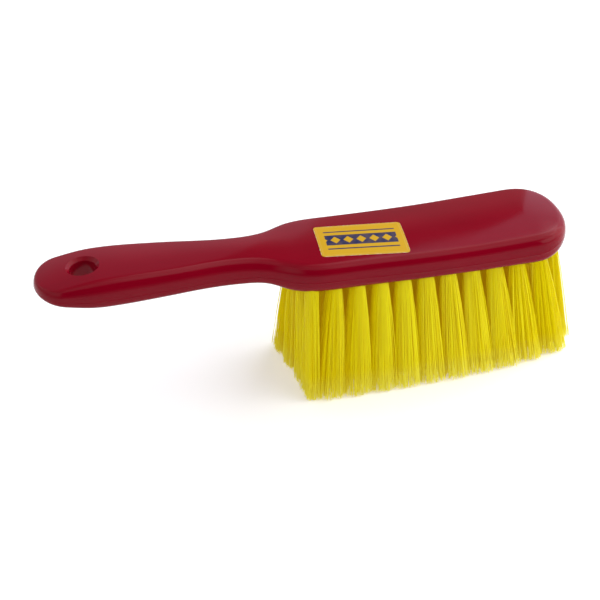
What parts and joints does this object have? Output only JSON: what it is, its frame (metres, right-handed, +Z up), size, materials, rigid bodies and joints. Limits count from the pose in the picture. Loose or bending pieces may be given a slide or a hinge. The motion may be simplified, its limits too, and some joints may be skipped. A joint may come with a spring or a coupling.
{
  "type": "banister brush",
  "caption": "Hand brush with a moulded one-piece stock, a hang hole in its handle and flared rows of bristle tufts under its head.",
  "frame": {"origin": "under the middle of the whole brush, in the plane of the bristle tips that it stands on", "axes": "+X from the handle to the nose of the head, +Y to the left of the brush, +Z up, from the bristle tips to the stock"},
  "size_m": [0.287, 0.061, 0.0874],
  "materials": {
    "stock_plastic": "glossy injection moulded, dark red",
    "bristle": "drawn synthetic filament, yellow, paler at the flagged tips",
    "label_face": null
  },
  "bodies": {
    "root": {"stock": "stock_plastic", "label": "label_face", "tuft_outer_right_01": "bristle", "tuft_outer_right_02": "bristle", "tuft_outer_right_03": "bristle", "tuft_outer_right_04": "bristle", "tuft_outer_right_05": "bristle", "tuft_outer_right_06": "bristle", "tuft_outer_right_07": "bristle", "tuft_outer_right_08": "bristle", "tuft_outer_right_09": "bristle", "tuft_outer_right_10": "bristle", "tuft_outer_right_11": "bristle", "tuft_inner_right_01": "bristle", "tuft_inner_right_02": "bristle", "tuft_inner_right_03": "bristle", "tuft_inner_right_04": "bristle", "tuft_inner_right_05": "bristle", "tuft_inner_right_06": "bristle", "tuft_inner_right_07": "bristle", "tuft_inner_right_08": "bristle", "tuft_inner_right_09": "bristle", "tuft_inner_right_10": "bristle", "tuft_inner_right_11": "bristle", "tuft_inner_right_12": "bristle", "tuft_inner_left_01": "bristle", "tuft_inner_left_02": "bristle", "tuft_inner_left_03": "bristle", "tuft_inner_left_04": "bristle", "tuft_inner_left_05": "bristle", "tuft_inner_left_06": "bristle", "tuft_inner_left_07": "bristle", "tuft_inner_left_08": "bristle", "tuft_inner_left_09": "bristle", "tuft_inner_left_10": "bristle", "tuft_inner_left_11": "bristle", "tuft_inner_left_12": "bristle", "tuft_outer_left_01": "bristle", "tuft_outer_left_02": "bristle", "tuft_outer_left_03": "bristle", "tuft_outer_left_04": "bristle", "tuft_outer_left_05": "bristle", "tuft_outer_left_06": "bristle", "tuft_outer_left_07": "bristle", "tuft_outer_left_08": "bristle", "tuft_outer_left_09": "bristle", "tuft_outer_left_10": "bristle", "tuft_outer_left_11": "bristle"}
  },
  "joints": []
}
